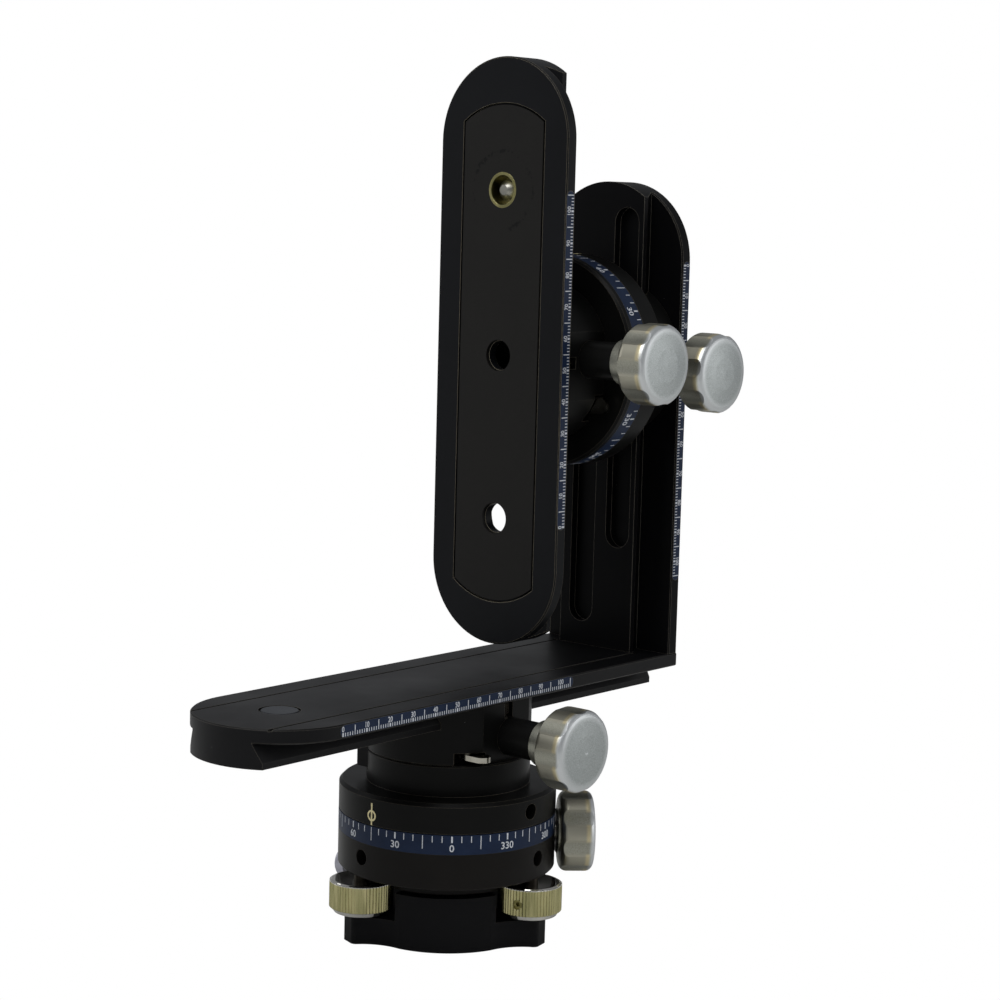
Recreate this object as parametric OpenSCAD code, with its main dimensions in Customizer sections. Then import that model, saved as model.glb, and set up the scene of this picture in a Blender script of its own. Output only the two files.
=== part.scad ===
// Panoramic tripod head: a levelling base with three wheels, a pan rotator, a long
// dovetail rail on a clamp, an upright, a tilt rotator between two clamps, and a
// camera plate. The pan axis is Z, the underside of the base is z = 0, and the rail
// points along X.

/* [Levelling base] */
// Radius of the round body of the base
base_r = 28.3; // [28:0.1:28.6]
// Height of the base
base_h = 17.6; // [17.2:0.1:18.6]
// Height of the three lobes that carry the levelling wheels
lobe_h = 8.6; // [8.5:0.1:9]
// Distance from the pan axis to the end of a lobe
lobe_reach = 35.6; // [35.2:0.1:36]
// Half width of a lobe's root
lobe_half_w = 12; // [11:0.1:12.4]
// Radius of a lobe's rounded corners
lobe_round = 2; // [1.6:0.1:2.2]
// Radius of the hollows beside the lobes
waist_r = 16.8; // [16.4:0.1:17.2]
// Depth that a hollow bites into the round body
waist_bite = 0.15; // [0.1:0.05:0.3]
// Small bevel on turned and milled edges
edge_bevel = 0.4; // [0.1:0.05:0.6]

/* [Levelling wheels] */
// Distance from the pan axis to a wheel's axis
wheel_axis_r = 31; // [30.8:0.1:31.4]
// Radius of a wheel over its knurl
wheel_r = 10.2; // [9.8:0.1:10.4]
// Height of a wheel
wheel_h = 10.4; // [9:0.1:10.6]
// Height of the small boss under a wheel
wheel_boss_h = 1.15; // [0.9:0.05:1.3]
// Radius of the small boss under a wheel
wheel_boss_r = 5; // [4:0.1:6]
// Height of the bevel at the bottom of a wheel
wheel_bevel = 1.5; // [1:0.1:2]
// Depth of the dish in the top of a wheel
wheel_dish = 0.5; // [0.4:0.1:1]
// Width of the flat rim round the dish
wheel_rim = 1.2; // [1:0.1:2]
// Clearance between a wheel and its pocket
wheel_clearance = 3.1; // [2.8:0.1:3.3]
// Depth of the straight knurl
knurl_depth = 0.35; // [0.2:0.05:0.5]
// Radius of the stud that a wheel turns on
stud_r = 2.5; // [2:0.1:3]
// Height of the studs' feet over the base's underside
stud_rise = 1.6; // [1.2:0.1:2]
// Length of a stud's tip inside the lower pan ring
stud_reach = 2.2; // [2:0.1:2.4]
// Radius of the grub screw in a wheel
grub_r = 1.5; // [1.2:0.1:1.6]
// Length of the grub screw in a wheel
grub_len = 3.5; // [3:0.1:4]

/* [Level pivot] */
// Radius of the ball that the pan base tilts on
ball_r = 8; // [7.6:0.1:8.2]
// Wall of the bearing cup round the ball
cup_wall = 1.9; // [1.6:0.1:2.1]
// Height of the ball's centre above the base
ball_rise = 11.6; // [11.4:0.1:11.8]
// Radius of the ball's post
post_r = 4.5; // [4:0.1:4.7]
// Wall radius of the tripod socket, 3/8 inch thread
socket_r = 4.7625; // [4.7:0.0025:4.8]
// Outer radius of the tripod socket's steel bush
bush_r = 8; // [7:0.1:9]
// Length of the tripod socket's bush
bush_len = 8.4; // [7.5:0.1:8.6]
// Height of the room over the bush, for the tip of a long tripod screw
socket_room = 3.6; // [3:0.1:4]
// Radius of the pivot lock knob
pivot_knob_r = 5; // [4.6:0.1:5.6]
// Length of the pivot lock knob
pivot_knob_len = 4.5; // [4:0.1:5.5]
// Height of the pivot lock knob's axis
pivot_knob_z = 15.2; // [14.8:0.1:15.3]
// Direction of the pivot lock knob
pivot_knob_angle = 100; // [98:1:106]
// Radius of the pivot lock screw
pivot_screw_r = 2; // [1.5:0.1:2.5]

/* [Pan rotator] */
// Radius of the pan rings and the tilt rings
ring_r = 35.08; // [34.8:0.01:35.5]
// Gap between the base and the foot of the lower pan ring
level_gap = 0.7; // [0.7:0.1:1]
// Radius of the foot under the lower pan ring
pan_foot_r = 26; // [25.5:0.1:27]
// Height of the foot under the lower pan ring
pan_foot_h = 3.9; // [3.7:0.1:4.2]
// Height of the lower pan ring
pan_base_h = 17.7; // [17.4:0.1:18.4]
// Depth of the well for the pan spindle
well_depth = 13.7; // [13.4:0.1:14]
// Gap between the two pan rings
pan_gap = 0.3; // [0.2:0.05:0.5]
// Height of the upper pan ring
pan_ring_h = 9.5; // [9:0.1:10.5]
// Bevel at the top edge of the upper pan ring
ring_bevel = 1.1; // [0.6:0.1:1.5]
// Height of the neck over the upper pan ring
neck_h = 9.9; // [9.2:0.1:11]
// Height of the blue degree bands
band_h = 6.2; // [5.5:0.1:6.8]
// Thickness of the blue bands and strips
inlay_t = 0.5; // [0.3:0.05:0.7]
// Outer radius of the pan spindle
spindle_r = 20; // [19.5:0.1:20.5]
// Wall of the pan spindle
spindle_wall = 4.8; // [4.4:0.1:5]
// Radius of the pan spindle's flange
spindle_flange_r = 24; // [23.5:0.1:26]
// Height of the pan spindle's flange
spindle_flange_h = 3.7; // [3.2:0.1:4]
// Depth of the groove that the pan lock screw runs in
groove_depth = 1.6; // [1.4:0.1:1.8]
// Half height of the groove that the pan lock screw runs in
groove_half_h = 2.2; // [2:0.1:2.6]
// Height of the pan lock knob's axis
pan_knob_z = 32.2; // [32:0.1:32.6]
// Direction of the pan lock knob
pan_knob_angle = 315; // [312:1:318]
// Radius of the holes for a pin wrench
wrench_hole_r = 2.55; // [2.2:0.05:2.7]
// Depth of the holes for a pin wrench
wrench_hole_depth = 5; // [4:0.1:6]
// Height of these holes over the lower pan ring's underside
wrench_rise = 6.7; // [6:0.1:7.5]

/* [Silver knobs] */
// Radius of a silver knob
knob_r = 13; // [12:0.1:13.5]
// Thickness of a silver knob
knob_t = 12; // [11:0.1:13]
// Radius of the rounding at both edges of a knob
knob_round = 2.4; // [1.8:0.1:2.8]
// Height of the crown of a knob's face
knob_crown = 0.6; // [0.3:0.1:1]
// Radius of the flutes round a knob
flute_r = 9.5; // [7:0.1:12]
// Depth of the flutes round a knob
flute_depth = 0.8; // [0.5:0.05:1.2]
// Radius of a knob's collar
collar_r = 7.25; // [6.6:0.05:7.6]
// Length of the collar of a clamp knob
collar_len = 6; // [5:0.1:7]
// Length of the collar of the pan lock knob
short_collar_len = 0.5; // [0.5:0.1:1]
// Depth and width of the groove between a collar and its knob
collar_groove = 0.5; // [0.3:0.1:0.7]
// Turn of the pan lock knob's flutes
pan_knob_turn = 12.3; // [0:0.1:45]
// Turn of the rail clamp knob's flutes
rail_knob_turn = 3.7; // [0:0.1:45]
// Turn of the flutes of the upright's clamp knob
unit_knob_turn = 35.3; // [0:0.1:45]
// Turn of the flutes of the camera plate's clamp knob
plate_knob_turn = 1.9; // [0:0.1:45]
// Radius of the screw rods
rod_r = 3; // [2.6:0.1:3.1]

/* [Clamps] */
// Radius of the clamp bodies and the neck
clamp_r = 26.4; // [26:0.1:27]
// Height of the rail clamp and of the upright's clamp
clamp_h = 18.8; // [18.6:0.1:19.4]
// Height of the camera plate's clamp
plate_clamp_h = 20; // [19.8:0.1:20.6]
// Distance from a clamp's centre to its front flat
flat_y = 24; // [23.8:0.1:24.4]
// Distance from a clamp's centre to its rear flat
rear_y = 15.6; // [15.5:0.1:16]
// Distance of a clamp knob's axis from the clamp's centre
knob_x = 2; // [1.5:0.1:2.5]
// Height of the rail clamp's knob axis
rod_z_a = 7.4; // [7.2:0.1:7.6]
// Height of the other clamps' knob axes
rod_z_b = 7.2; // [7.1:0.1:7.4]
// Radius of the black stem behind a clamp knob
stem_r = 6.1; // [5.6:0.1:6.4]
// Length of the black stem that shows
stem_len = 13; // [11:0.1:15]
// Length of the same stem at the upright's clamp
unit_stem_len = 11.6; // [10:0.1:14]
// Depth of the stem's seat in a clamp
stem_seat = 1; // [0.8:0.1:1]
// Half length of a moving jaw
jaw_half = 19.7; // [18.5:0.1:20.5]
// Thickness of a moving jaw
jaw_t = 6.2; // [5.5:0.1:7]
// Length that the rail clamp's jaw hangs down behind the neck
jaw_skirt = 6.4; // [5:0.1:7]
// Radius of the dowels that guide a jaw
dowel_r = 1.5; // [1.2:0.1:1.8]
// Length of the dowels that guide a jaw
dowel_len = 7.7; // [7:0.1:8]
// Radius of the two screws that hold a clamp
bolt_r = 2.5; // [2:0.1:2.6]
// Head radius of the two screws that hold a clamp
bolt_head_r = 4.2; // [3.8:0.1:4.5]
// Length of the two screws that hold a clamp
bolt_len = 17; // [16:0.1:18]
// Distance of these screws from a clamp's centre
bolt_x = 14; // [13.7:0.1:14.2]

/* [Levers and stop pins] */
// Thickness of a lever
lever_t = 1.7; // [1.4:0.1:2]
// Half width of a lever
lever_half_w = 2.75; // [2.4:0.05:3]
// Height of a lever over the clamp's base plane
lever_z = 1.9; // [1.6:0.1:2]
// Distance from a clamp's centre to a lever's pivot, across
lever_x = 13.1; // [12.9:0.1:13.3]
// Distance from a clamp's centre to a lever's pivot, forward
lever_y = 19.3; // [19:0.1:19.6]
// Distance from a clamp's centre to a lever's tip
lever_tip = 28.2; // [27.5:0.1:29]
// Radius of a lever's pivot
lever_pin_r = 1.5; // [1.2:0.1:1.6]
// Height of the notch that a lever swings in
notch_h = 4.1; // [4:0.1:4.4]
// Radius of a stop pin's knurled head
pin_r = 1.6; // [1.4:0.1:1.8]
// Height of a stop pin's knurled head
pin_head_h = 3.3; // [3:0.1:3.4]
// Travel of a stop pin
pin_travel = 1; // [0.8:0.1:1]
// Distance from a clamp's centre to a stop pin, across
pin_x = 1; // [0.5:0.1:1.5]
// Distance from a clamp's centre to a stop pin, forward
pin_y = 21.9; // [21.8:0.1:21.9]

/* [Dovetail] */
// Half width of the rails
rail_half_w = 26.4; // [26:0.1:27]
// Thickness of a rail's flange
flange_t = 4.5; // [4:0.1:5]
// Height of the dovetail
dove_h = 7.5; // [7.2:0.1:7.8]
// Half width of the dovetail at the flange
dove_neck = 12.5; // [12:0.1:12.8]
// Half width of the dovetail at its foot
dove_foot = 15.3; // [15:0.1:15.4]
// Height of the upright edge at the dovetail's foot
foot_h = 1.9; // [1.6:0.1:2.2]
// Gap between a flange and its clamp
flange_gap = 0.3; // [0.2:0.05:0.4]
// Sliding clearance of the dovetail
slide_gap = 0.06; // [0.04:0.01:0.08]
// Height of the blue millimetre strips
strip_h = 3.5; // [3:0.1:3.8]
// Margin of a strip under the flange's face
strip_margin = 0.35; // [0.2:0.05:0.5]
// Distance of the face grooves from the middle
face_groove_y = 16.8; // [16:0.1:18]
// Width of the face grooves
face_groove_w = 1; // [0.6:0.1:1.6]
// Depth of the face grooves
face_groove_depth = 0.6; // [0.3:0.1:1]

/* [Rail and upright] */
// Length of the rail
rail_len = 189.2; // [170:0.1:210]
// Distance from the pan axis to the rail's square end
rail_reach = 86.6; // [84:0.1:92]
// Length of the rail's strip
rail_strip_len = 107.5; // [100:0.1:110]
// Distance from the rail's round end to its strip
rail_strip_start = 25.3; // [24:0.1:27]
// Radius of the plug in the rail's round end
plug_r = 5.7; // [5:0.1:8]
// Width and depth of the groove round the plug
plug_groove = 0.7; // [0.4:0.1:1]
// Depth of the plug in the rail's round end
plug_depth = 8; // [6:0.1:10]
// Height of the upright over the rail
upright_len = 159.2; // [155:0.1:170]
// Length of the upright's strip
upright_strip_len = 107.7; // [100:0.1:110]
// Distance from the upright's top to its strip
upright_strip_start = 26.1; // [24:0.1:30]
// Radius of the screws that hold the upright
joint_screw_r = 2; // [1.6:0.1:2.1]
// Head radius of the screws that hold the upright
joint_head_r = 3.8; // [3.4:0.1:4]
// Length of the screws that hold the upright
joint_screw_len = 21; // [18:0.1:24]
// Distance of these screws from the rail's middle
joint_screw_y = 8; // [6:0.1:9]
// Width of the two pockets in the upright
pocket_w = 10; // [8:0.1:10.4]
// Depth of the two pockets in the upright
pocket_depth = 3; // [2:0.1:3.4]
// Length of the two pockets in the upright
pocket_len = 115.4; // [100:0.1:117]
// Distance from the upright's foot to its lower pocket
low_pocket_z = 8.1; // [7:0.1:10]
// Distance from the upright's foot to its upper pocket
high_pocket_z = 35.3; // [30:0.1:38]
// Distance of the lower pocket from the middle
low_pocket_y = 6.5; // [6.3:0.1:7]
// Distance of the upper pocket from the middle
high_pocket_y = 8.3; // [7:0.1:8.5]

/* [Tilt rotator] */
// Thickness of the index ring
index_ring_t = 9; // [8.6:0.1:9.6]
// Length of the neck between the index ring and its clamp
tilt_neck = 0.6; // [0.5:0.1:0.9]
// Gap between the index ring and the scale ring
tilt_gap = 0.25; // [0.2:0.05:0.4]
// Thickness of the scale ring
scale_ring_t = 8.95; // [8.8:0.05:9.6]
// Radius of the tilt spindle
tilt_spindle_r = 8.5; // [8:0.1:9]
// Radius of the tilt spindle's head and of its nut
tilt_nut_r = 11; // [10:0.1:11.2]
// Thickness of the tilt spindle's head
tilt_head_t = 3; // [2.5:0.1:3.5]
// Thickness of the tilt spindle's nut
tilt_nut_t = 1.8; // [1.5:0.1:2]
// Radius of the tilt spindle's threaded end
tilt_thread_r = 6; // [5:0.1:6.5]

/* [Camera plate] */
// Length of the camera plate
plate_len = 189.4; // [185:0.1:191]
// Length of the camera plate below the tilt axis
plate_drop = 92; // [91:0.1:94]
// Height of the camera plate's lower end over the rail
plate_clear = 7.9; // [7.5:0.1:12]
// Distance of the middle hole under the plate's middle
hole_shift = 0.35; // [0:0.05:1]
// Distance between the plate's holes
hole_pitch = 52.9; // [51:0.1:54]
// Wall radius of the plate's holes, 3/8 inch thread
hole_r = 4.7625; // [4.7:0.0025:4.8]
// Radius of the reliefs behind the two lower holes
relief_r = 11.2; // [10:0.1:11.4]
// Depth of the reliefs behind the two lower holes
relief_depth = 7.7; // [6:0.1:8.5]
// Half width of the grip pad
pad_half_w = 16.3; // [15:0.1:18]
// Radius of the grip pad's ends about the outer holes
pad_end_r = 26.9; // [25:0.1:28]
// Thickness of the grip pad
pad_t = 1.2; // [0.8:0.1:1.6]
// Width of the groove round the grip pad
pad_groove = 0.7; // [0.4:0.1:1]
// Length of the camera plate's strip
plate_strip_len = 107.1; // [100:0.1:110]
// Distance from the plate's lower end to its strip
plate_strip_start = 40.3; // [38:0.1:43]
// Outer radius of the bush in the upper hole
plate_bush_r = 5.7; // [5.4:0.1:6.2]
// Radius of the camera screw, 1/4 inch thread
camera_screw_r = 3.175; // [3.1:0.025:3.2]
// Radius of the camera screw's head
camera_head_r = 8; // [7:0.1:9]
// Thickness of the camera screw's head
camera_head_t = 4.3; // [3.5:0.1:5]
// Distance that the camera screw's tip lies inside the face
camera_tip_depth = 0.6; // [0.3:0.1:2]

/* [Hidden] */
$fn = 96;

// Clearances that more than one piece uses
seat_gap = 0.02;
run_gap = 0.05;
loose_gap = 0.3;
overrun = 1;

// Heights of the stack on the pan axis
pan_base_z = base_h + level_gap;
pan_rim_z = pan_base_z + pan_foot_h;
pan_base_top = pan_rim_z + pan_base_h;
pan_ring_z = pan_base_top + pan_gap;
pan_ring_top = pan_ring_z + pan_ring_h;
rail_clamp_z = pan_ring_top + neck_h;
rail_z = rail_clamp_z + clamp_h + flange_gap - dove_h;
rail_t = dove_h + flange_t;
rail_top = rail_z + rail_t;
tilt_z = rail_top + plate_clear + plate_drop;

// Places along X of what the upright carries
upright_x = rail_reach - rail_t;
unit_clamp_x = rail_reach - flange_t - flange_gap - clamp_h;
index_ring_x = unit_clamp_x - tilt_neck - index_ring_t;
plate_clamp_x = index_ring_x - tilt_gap - scale_ring_t;
plate_x = plate_clamp_x - plate_clamp_h - flange_gap + dove_h;
plate_z = tilt_z - plate_drop;
hole_mid = plate_len / 2 - hole_shift;
mid_hole_z = plate_z + hole_mid;

// Lobes, wheels and studs of the base
lobe_angles = [for (i = [0:2]) 42 + 120 * i];
waist_angle = 25.5;
waist_c = (base_r - waist_bite + waist_r) * [cos(waist_angle), sin(waist_angle)];
lobe_round_x = lobe_reach - lobe_round;
lobe_round_y = waist_c[1] + seat_gap
  - sqrt(pow(waist_r + lobe_round, 2) - pow(waist_c[0] - lobe_round_x, 2));
knurl_teeth = 60;
grub_angle = -86;

// A knurl's grooves end a little over the bevels beside them
knurl_step_share = 1.4;
knurl_step = knurl_step_share * knurl_depth;

function polar(r, a) = [r * cos(a), r * sin(a)];
function arc(c, r, a0, a1, steps) = [
  for (i = [0:steps]) c + polar(r, a0 + (a1 - a0) * i / steps)
];

// Solid disc with both edges bevelled
module bevelled_disc(r, h, bevel) {
  rotate_extrude() polygon([
    [0, 0], [r - bevel, 0], [r, bevel], [r, h - bevel], [r - bevel, h], [0, h]
  ]);
}

// Rod with a straight knurl of pointed teeth
module knurled_rod(r, h, teeth, depth) {
  linear_extrude(h) polygon([
    for (i = [0:2 * teeth - 1]) polar(i % 2 == 0 ? r : r - depth, 180 * i / teeth)
  ]);
}

// Bore with a hexagon socket shape, for the end of a screw
module hex_socket(r, depth) {
  translate([0, 0, -depth]) cylinder(r = r, h = depth + overrun, $fn = 6);
}

// Base body with three lobes and three wheel pockets
pocket_r = wheel_r + wheel_clearance;

module hollows() {
  for (a = lobe_angles, side = [-1, 1]) rotate(a) translate([waist_c[0], side * waist_c[1]]) circle(waist_r);
}

module lobes() {
  for (a = lobe_angles) rotate(a) {
    translate([0, -lobe_half_w])
      square([lobe_round_x + lobe_round * (waist_c[0] - lobe_round_x) / waist_r, 2 * lobe_half_w]);
    translate([0, -lobe_round_y]) square([lobe_reach - seat_gap, 2 * lobe_round_y]);
    for (side = [-1, 1]) translate([lobe_round_x, side * lobe_round_y]) circle(lobe_round);
  }
}

module base_body() {
  color("#1c1d20") difference() {
    union() {
      linear_extrude(lobe_h) difference() {
        union() {
          circle(base_r);
          lobes();
        }
        hollows();
      }
      translate([0, 0, lobe_h]) linear_extrude(base_h - lobe_h) difference() {
        circle(base_r);
        hollows();
        for (a = lobe_angles) rotate(a) translate([wheel_axis_r, 0]) circle(pocket_r);
      }
    }
    for (a = lobe_angles) rotate(a) translate([wheel_axis_r, 0, stud_rise - seat_gap])
      cylinder(r = stud_r + seat_gap, h = base_h);
    translate([0, 0, -overrun]) cylinder(r = bush_r + seat_gap, h = post_foot_z + overrun);
    cylinder(r = post_r + seat_gap, h = base_h + overrun);
    rotate(pivot_knob_angle) translate([0, 0, pivot_knob_z]) rotate([0, 90, 0])
      cylinder(r = pivot_screw_r + run_gap, h = ring_r + overrun);
  }
}

// Steel bush with the thread for the tripod
module tripod_bush() {
  color("silver") difference() {
    cylinder(r = bush_r, h = bush_len);
    translate([0, 0, -overrun]) cylinder(r = socket_r, h = bush_len + 2 * overrun);
  }
}

// Post with the ball that the pan base tilts on
ball_z = base_h + ball_rise;
post_foot_z = bush_len + socket_room;

module pivot_post() {
  color("silver") {
    translate([0, 0, post_foot_z]) cylinder(r = post_r, h = ball_z - post_foot_z);
    translate([0, 0, ball_z]) sphere(ball_r);
  }
}

// Three studs, on which the wheels turn
stud_top = pan_rim_z + stud_reach;

module level_studs() {
  color("silver") for (a = lobe_angles)
    rotate(a) translate([wheel_axis_r, 0, stud_rise])
      bevelled_disc(stud_r, stud_top - stud_rise, edge_bevel);
}

// One knurled wheel with a bevelled bottom and a dished top
wheel_z = lobe_h + loose_gap / 6;
wheel_disc_z = wheel_z + wheel_boss_h;
grub_z = wheel_disc_z + wheel_h / 2;
rim_r = wheel_r - knurl_step;
grub_out = rim_r - loose_gap;

module at_wheel(i) {
  rotate(lobe_angles[i]) translate([wheel_axis_r, 0, 0]) rotate(grub_angle) children();
}

module thumbwheel(i) {
  color("#b9b7a4") at_wheel(i) difference() {
    union() {
      translate([0, 0, wheel_z]) cylinder(r = wheel_boss_r, h = wheel_boss_h + overrun);
      translate([0, 0, wheel_disc_z])
        cylinder(r1 = wheel_r - wheel_bevel, r2 = rim_r, h = wheel_bevel);
      translate([0, 0, wheel_disc_z + wheel_bevel])
        knurled_rod(wheel_r, wheel_h - wheel_bevel - edge_bevel, knurl_teeth, knurl_depth);
      translate([0, 0, wheel_disc_z + wheel_h - edge_bevel])
        cylinder(r1 = rim_r, r2 = rim_r - edge_bevel, h = edge_bevel);
    }
    translate([0, 0, wheel_disc_z + wheel_h]) rotate_extrude() polygon([
      [0, -wheel_dish], [stud_r, -wheel_dish], [wheel_r - wheel_rim, 0], [wheel_r - wheel_rim, overrun],
      [0, overrun]
    ]);
    cylinder(r = stud_r + run_gap, h = stud_top);
    translate([grub_out - grub_len, 0, grub_z]) rotate([0, 90, 0])
      cylinder(r = grub_r + seat_gap, h = grub_len + wheel_r);
  }
}

module wheel_grub(i) {
  color("#3a3a3c") at_wheel(i) translate([grub_out - grub_len, 0, grub_z]) rotate([0, 90, 0])
    difference() {
      cylinder(r = grub_r, h = grub_len);
      translate([0, 0, grub_len]) hex_socket(grub_r / 2, grub_r);
    }
}

// Small lock knob of the pivot, with its screw
pivot_knob_in = ring_r + 4 * loose_gap;

module pivot_knob() {
  color("#a8abab") rotate(pivot_knob_angle) translate([0, 0, pivot_knob_z]) rotate([0, 90, 0]) {
    translate([0, 0, post_r + run_gap]) cylinder(r = pivot_screw_r, h = pivot_knob_in);
    translate([0, 0, pivot_knob_in]) bevelled_disc(pivot_knob_r, pivot_knob_len, 2 * edge_bevel);
  }
}

// Bearing cup round the ball, open below for the post and above
cup_r = ball_r + run_gap + cup_wall;
cup_open_share = 0.8;
cup_low_share = 0.68;
cup_high_share = 0.63;
cup_open_r = post_r + cup_wall * cup_open_share;
cup_low = cup_r * cup_low_share;
cup_high = cup_r * cup_high_share;

module pivot_cup() {
  color("#d8d4c8") translate([0, 0, ball_z]) difference() {
    intersection() {
      sphere(cup_r);
      translate([0, 0, -cup_low]) cylinder(r = cup_r + overrun, h = cup_low + cup_high);
    }
    sphere(ball_r + run_gap);
    translate([0, 0, -cup_r - overrun]) cylinder(r = cup_open_r, h = cup_r);
  }
}

// Lower pan ring: the foot that clears the wheels, the cup's housing, the spindle's well
// and the groove of the blue band
cavity_r = cup_r + run_gap;
hub_r = spindle_r - spindle_wall - loose_gap - run_gap;
hub_top = pan_base_top - 3 * loose_gap;
well_z = pan_base_top - well_depth;
band_z = pan_base_top - band_h;
band_in = ring_r - inlay_t;
stud_well_r = stud_r + 3 * loose_gap;
stud_well_h = stud_reach + 3 * loose_gap;
post_hole_r = post_r + 7 * loose_gap;
wheel_relief_r = wheel_r + 4 * loose_gap;
wrench_angles = [171.8, 277.4];

module pan_base() {
  color("#17181b") difference() {
    union() {
      translate([0, 0, pan_base_z]) linear_extrude(pan_foot_h + loose_gap) difference() {
        circle(pan_foot_r);
        for (a = lobe_angles) rotate(a) translate([wheel_axis_r, 0]) circle(wheel_relief_r);
      }
      rotate_extrude() polygon([
        [0, pan_rim_z], [ring_r - edge_bevel, pan_rim_z], [ring_r, pan_rim_z + edge_bevel],
        [ring_r, band_z - seat_gap], [band_in - seat_gap, band_z - seat_gap],
        [band_in - seat_gap, pan_base_top], [spindle_r + run_gap, pan_base_top],
        [spindle_r + run_gap, well_z], [hub_r, well_z], [hub_r, hub_top], [0, hub_top]
      ]);
    }
    translate([0, 0, ball_z]) sphere(cavity_r);
    translate([0, 0, ball_z]) cylinder(r = cavity_r, h = pan_base_h);
    translate([0, 0, pan_base_z - overrun]) cylinder(r = post_hole_r, h = pan_foot_h + overrun);
    for (a = lobe_angles) rotate(a) translate([wheel_axis_r, 0, pan_rim_z - overrun])
      cylinder(r = stud_well_r, h = stud_well_h + overrun);
    for (a = wrench_angles) rotate(a)
      translate([ring_r - wrench_hole_depth, 0, pan_rim_z + wrench_rise]) rotate([0, 90, 0])
        cylinder(r = wrench_hole_r, h = wrench_hole_depth + overrun);
    rotate(pan_knob_angle) translate([spindle_r - overrun, 0, pan_knob_z]) rotate([0, 90, 0])
      cylinder(r = rod_r + run_gap, h = ring_r);
  }
}

module pan_scale() {
  color("#28406c") translate([0, 0, band_z]) difference() {
    cylinder(r = ring_r, h = band_h);
    translate([0, 0, -overrun]) cylinder(r = band_in, h = band_h + 2 * overrun);
    rotate(pan_knob_angle) translate([band_in - overrun, 0, pan_knob_z - band_z]) rotate([0, 90, 0])
      cylinder(r = rod_r + run_gap, h = overrun * 4);
  }
}

// Cap that holds the cup and the ball in the pan base
cap_z = ball_z + cup_high + loose_gap;

module pivot_cap() {
  color("#2a2b2e") difference() {
    translate([0, 0, cap_z]) cylinder(r = cavity_r - seat_gap, h = hub_top - cap_z);
    translate([0, 0, ball_z]) sphere(ball_r + loose_gap);
  }
}

// Turned knob: a collar at z = 0, then the fluted body, round at both edges, and its crowned face
flute_count = 8;

module turned_knob(collar, turn) {
  body_z = collar + collar_groove;
  face_z = collar + knob_t;
  face_r = knob_r - knob_round;
  difference() {
    rotate_extrude() polygon(concat(
      [[0, 0], [collar_r - edge_bevel, 0], [collar_r, edge_bevel], [collar_r, collar],
       [collar_r - collar_groove, collar], [collar_r - collar_groove, body_z]],
      arc([face_r, body_z + knob_round], knob_round, -90, 0, 6),
      arc([face_r, face_z - knob_crown - knob_round], knob_round, 0, 84, 7),
      [[face_r / 2, face_z - knob_crown / 4], [0, face_z]]
    ));
    for (i = [0:flute_count - 1]) rotate(turn + i * 360 / flute_count)
      translate([knob_r + flute_r - flute_depth, 0, 0]) cylinder(r = flute_r, h = face_z + overrun);
  }
}

rod_grip = 4;

// Pan lock knob and its screw, whose cone runs in the spindle's groove
pan_collar_r = ring_r + loose_gap;
pan_tip_r = spindle_r - groove_depth / 2;
pan_cone = 0.6 * rod_r;

module on_pan_knob_axis(r) {
  rotate(pan_knob_angle) translate([r, 0, pan_knob_z]) rotate([0, 90, 0]) children();
}

module pan_knob() {
  color("#b4b8b8") on_pan_knob_axis(pan_collar_r) difference() {
    turned_knob(short_collar_len, pan_knob_turn);
    translate([0, 0, -overrun]) cylinder(r = rod_r + seat_gap, h = short_collar_len + rod_grip + overrun);
  }
}

module pan_screw() {
  color("silver") on_pan_knob_axis(pan_tip_r) {
    cylinder(r1 = rod_r - groove_half_h, r2 = rod_r, h = pan_cone);
    translate([0, 0, pan_cone])
      cylinder(r = rod_r, h = pan_collar_r + short_collar_len + rod_grip - pan_tip_r - pan_cone);
  }
}

// Upper pan ring with the neck, cut flat behind for the jaw's skirt
flange_z = pan_ring_z + loose_gap;
flange_top = flange_z + spindle_flange_h;
bolt_foot = bolt_len - clamp_h + flange_gap + dove_h;

module pan_ring() {
  color("#17181b") difference() {
    rotate_extrude() polygon([
      [0, pan_ring_z], [ring_r, pan_ring_z], [ring_r, pan_ring_top - ring_bevel],
      [ring_r - ring_bevel, pan_ring_top], [clamp_r, pan_ring_top],
      [clamp_r, rail_clamp_z - edge_bevel], [clamp_r - edge_bevel, rail_clamp_z], [0, rail_clamp_z]
    ]);
    translate([-ring_r, rear_y, rail_clamp_z - jaw_skirt - 2 * loose_gap])
      cube([2 * ring_r, ring_r, neck_h]);
    translate([0, 0, pan_ring_z - overrun])
      cylinder(r = spindle_flange_r + seat_gap, h = flange_top + seat_gap - pan_ring_z + overrun);
    translate([0, 0, rail_clamp_z]) bolt_holes();
    rotate(270) translate([ring_r - wrench_hole_depth, 0, pan_ring_z + pan_ring_h / 2]) rotate([0, 90, 0])
      cylinder(r = wrench_hole_r, h = wrench_hole_depth + overrun);
  }
}

// Hollow spindle that turns in the pan base's well
module pan_spindle() {
  color("#8d8f90") rotate_extrude() polygon([
    [spindle_r - spindle_wall, well_z + loose_gap], [spindle_r, well_z + loose_gap],
    [spindle_r, pan_knob_z - groove_half_h], [spindle_r - groove_depth, pan_knob_z],
    [spindle_r, pan_knob_z + groove_half_h], [spindle_r, flange_z], [spindle_flange_r, flange_z],
    [spindle_flange_r, flange_top], [spindle_r - spindle_wall, flange_top]
  ]);
}

// Frames of the three clamps: the base plane is z = 0 and the knob points to -Y
module at_rail_clamp() { translate([0, 0, rail_clamp_z]) children(); }
module at_unit_clamp() { translate([unit_clamp_x, 0, tilt_z]) rotate([0, 90, 0]) children(); }
module at_plate_clamp() { translate([plate_clamp_x, 0, tilt_z]) rotate([0, -90, 0]) children(); }

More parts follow.
